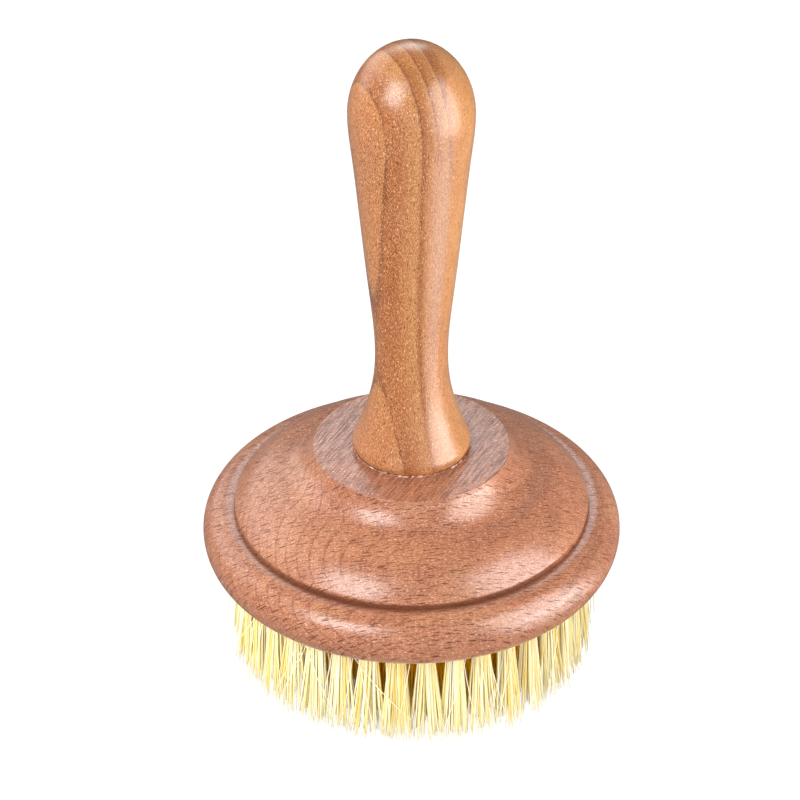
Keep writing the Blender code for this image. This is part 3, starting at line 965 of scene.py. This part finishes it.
def dried_glue():
    """Pale wood glue that has picked up sanding dust."""
    stuff = Stuff("dried_glue")
    spot = stuff.position()
    dust = stuff.noise(stuff.vector("MULTIPLY", spot, (1.6, 1.6, 3.0)), 1.0, 3.0, 0.7)
    base = stuff.ramp(
        dust,
        [(0.38, (0.16, 0.055, 0.030)), (0.52, (0.50, 0.27, 0.17)), (0.62, (0.85, 0.66, 0.52))],
    )
    stuff.feed(base, stuff.shader.inputs["Base Color"])
    stuff.feed(stuff.span(dust, 0.3, 0.7, 0.55, 0.4), stuff.shader.inputs["Roughness"])
    stuff.feed(stuff.bump(dust, 0.00005), stuff.shader.inputs["Normal"])
    return stuff.material


def staple_wire():
    """Dull steel wire."""
    stuff = Stuff("staple_wire")
    spot = stuff.position()
    dull = stuff.noise(stuff.vector("MULTIPLY", spot, (4.0, 4.0, 4.0)), 1.0, 2.0)
    base = stuff.ramp(dull, [(0.3, (0.45, 0.45, 0.45)), (0.7, (0.62, 0.61, 0.58))])
    stuff.feed(base, stuff.shader.inputs["Base Color"])
    stuff.feed(stuff.span(dull, 0.3, 0.7, 0.25, 0.45), stuff.shader.inputs["Roughness"])
    stuff.shader.inputs["Metallic"].default_value = 1.0
    return stuff.material


# ------------------------------------------------------------------ the studio

LOOK_AT = Vector((0.0, 0.0, 0.0747))
CAMERA_DISTANCE = 0.800
CAMERA_ELEVATION = math.radians(34.33)
LENS_MM = 139.8
SENSOR_MM = 36.0
SHIFT_RIGHT = -0.0144

# The floor: its grey and its glow to the camera, and the greys that it sends back to the object
FLOOR_RADIUS = 5.0
FLOOR_GREY = 0.12
FLOOR_GLOW = 0.94
BOUNCE_GREY = 0.66
MIRRORED_GREY = 0.16

# The lights: what the cards beside the brush point at, the backdrop's tint and the room's own glow
CARD_AIM = Vector((0.0, 0.0, 0.225))
LOW_CARD_AIM = Vector((0.0, 0.0, 0.11))
BACKDROP_COLOUR = (0.88, 0.96, 1.0)
ROOM_GLOW = 0.18


def grey(level):
    """A grey as red, green, blue and alpha."""
    return (level, level, level, 1.0)


def make_camera():
    """A long lens in front of the brush and above it, at the photograph's angle."""
    data = bpy.data.cameras.new("camera")
    data.sensor_width = SENSOR_MM
    data.lens = LENS_MM
    data.shift_x = SHIFT_RIGHT
    data.clip_start = 0.05
    data.clip_end = 20.0
    camera = link(bpy.data.objects.new("camera", data))
    back = Vector((0.0, -math.cos(CAMERA_ELEVATION), math.sin(CAMERA_ELEVATION)))
    camera.location = LOOK_AT + CAMERA_DISTANCE * back
    camera.rotation_euler = (-back).to_track_quat("-Z", "Y").to_euler()
    bpy.context.scene.camera = camera


def softbox(name, azimuth, elevation, distance, width, height, brightness, **options):
    """A soft light aimed at a point. Azimuth 0 is the camera's side and grows to the right.
    brightness is what the light's face looks like, where 1 is white paper. options may hold a
    colour, an aim point, and mirrored or shading as False for a light without that share."""
    data = bpy.data.lights.new(name, "AREA")
    data.shape = "RECTANGLE"
    data.size = width
    data.size_y = height
    data.energy = brightness * math.pi * width * height
    data.color = options.get("colour", (1.0, 1.0, 1.0))
    light = link(bpy.data.objects.new(name, data))
    a, e = math.radians(azimuth), math.radians(elevation)
    away = Vector((math.sin(a) * math.cos(e), -math.cos(a) * math.cos(e), math.sin(e)))
    light.location = options.get("aim", LOOK_AT) + distance * away
    light.rotation_euler = away.to_track_quat("Z", "Y").to_euler()
    light.visible_camera = False
    light.visible_glossy = options.get("mirrored", True)
    light.visible_diffuse = options.get("shading", True)


def make_floor():
    """A white sweep. What it sends back to the object is set apart from how the camera sees it."""
    bm = bmesh.new()
    bmesh.ops.create_circle(bm, cap_ends=True, segments=64, radius=FLOOR_RADIUS)
    mesh = bpy.data.meshes.new("floor")
    bm.to_mesh(mesh)
    bm.free()
    floor = link(bpy.data.objects.new("floor", mesh))
    material = bpy.data.materials.new("white_floor")
    material.use_nodes = True
    tree = material.node_tree
    shader = tree.nodes["Principled BSDF"]
    shader.inputs["Base Color"].default_value = grey(FLOOR_GREY)
    shader.inputs["Roughness"].default_value = 0.9
    shader.inputs["Emission Color"].default_value = grey(1.0)
    shader.inputs["Emission Strength"].default_value = FLOOR_GLOW
    bounce = tree.nodes.new("ShaderNodeBsdfDiffuse")
    bounce.inputs["Color"].default_value = grey(BOUNCE_GREY)
    mirrored = tree.nodes.new("ShaderNodeBsdfDiffuse")
    mirrored.inputs["Color"].default_value = grey(MIRRORED_GREY)
    clear = tree.nodes.new("ShaderNodeBsdfTransparent")
    side = tree.nodes.new("ShaderNodeNewGeometry")
    ray = tree.nodes.new("ShaderNodeLightPath")
    object_side = tree.nodes.new("ShaderNodeMixShader")
    seen = tree.nodes.new("ShaderNodeMixShader")
    blend = tree.nodes.new("ShaderNodeMixShader")
    tree.links.new(ray.outputs["Is Glossy Ray"], object_side.inputs["Fac"])
    tree.links.new(bounce.outputs["BSDF"], object_side.inputs[1])
    tree.links.new(mirrored.outputs["BSDF"], object_side.inputs[2])
    tree.links.new(ray.outputs["Is Camera Ray"], seen.inputs["Fac"])
    tree.links.new(object_side.outputs[0], seen.inputs[1])
    tree.links.new(shader.outputs["BSDF"], seen.inputs[2])
    tree.links.new(side.outputs["Backfacing"], blend.inputs["Fac"])
    tree.links.new(seen.outputs[0], blend.inputs[1])
    tree.links.new(clear.outputs["BSDF"], blend.inputs[2])
    tree.links.new(blend.outputs[0], tree.nodes["Material Output"].inputs["Surface"])
    mesh.materials.append(material)


def make_lights():
    """A key on the left, a tall card close on the right, fills that only shade, and a bright backdrop."""
    world = bpy.data.worlds.new("studio")
    world.use_nodes = True
    sky = world.node_tree.nodes["Background"]
    sky.inputs["Color"].default_value = grey(1.0)
    sky.inputs["Strength"].default_value = ROOM_GLOW
    bpy.context.scene.world = world
    softbox("key_left", -40, 40, 1.0, 0.54, 0.54, 7.2)
    softbox("card_right", 64, 0, 0.30, 0.27, 0.42, 5.4, aim=CARD_AIM, shading=False)
    softbox("low_right", 64, -38, 0.15, 0.10, 0.12, 2.4, aim=LOW_CARD_AIM, shading=False)
    softbox("card_fill", 64, 0, 0.30, 0.27, 0.42, 7.4, aim=CARD_AIM, mirrored=False)
    softbox("front_fill", 0, 6, 1.0, 1.2, 0.5, 3.2, mirrored=False)
    softbox("rear_left", -100, 26, 0.9, 0.8, 0.8, 4.2, mirrored=False)
    softbox("sheen_left", -130, 26, 1.0, 1.0, 0.8, 1.2, shading=False)
    softbox("backdrop", 180, 37, 1.0, 0.48, 0.40, 3.0, colour=BACKDROP_COLOUR)
    bpy.context.scene.view_settings.view_transform = "Standard"


def main():
    """Sets up the studio, makes the wood, bristles, glue and staples, and finishes the CAD's own dowel."""
    make_camera()
    make_lights()
    make_floor()
    make_head(beech())
    make_handle(cherry())
    fibre = tampico()
    make_bristles(fibre)
    make_strays(fibre)
    make_glue(dried_glue())
    make_staples(staple_wire())
    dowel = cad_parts["fluted_dowel"]
    dowel.data.materials.clear()
    dowel.data.materials.append(dowel_beech())


main()
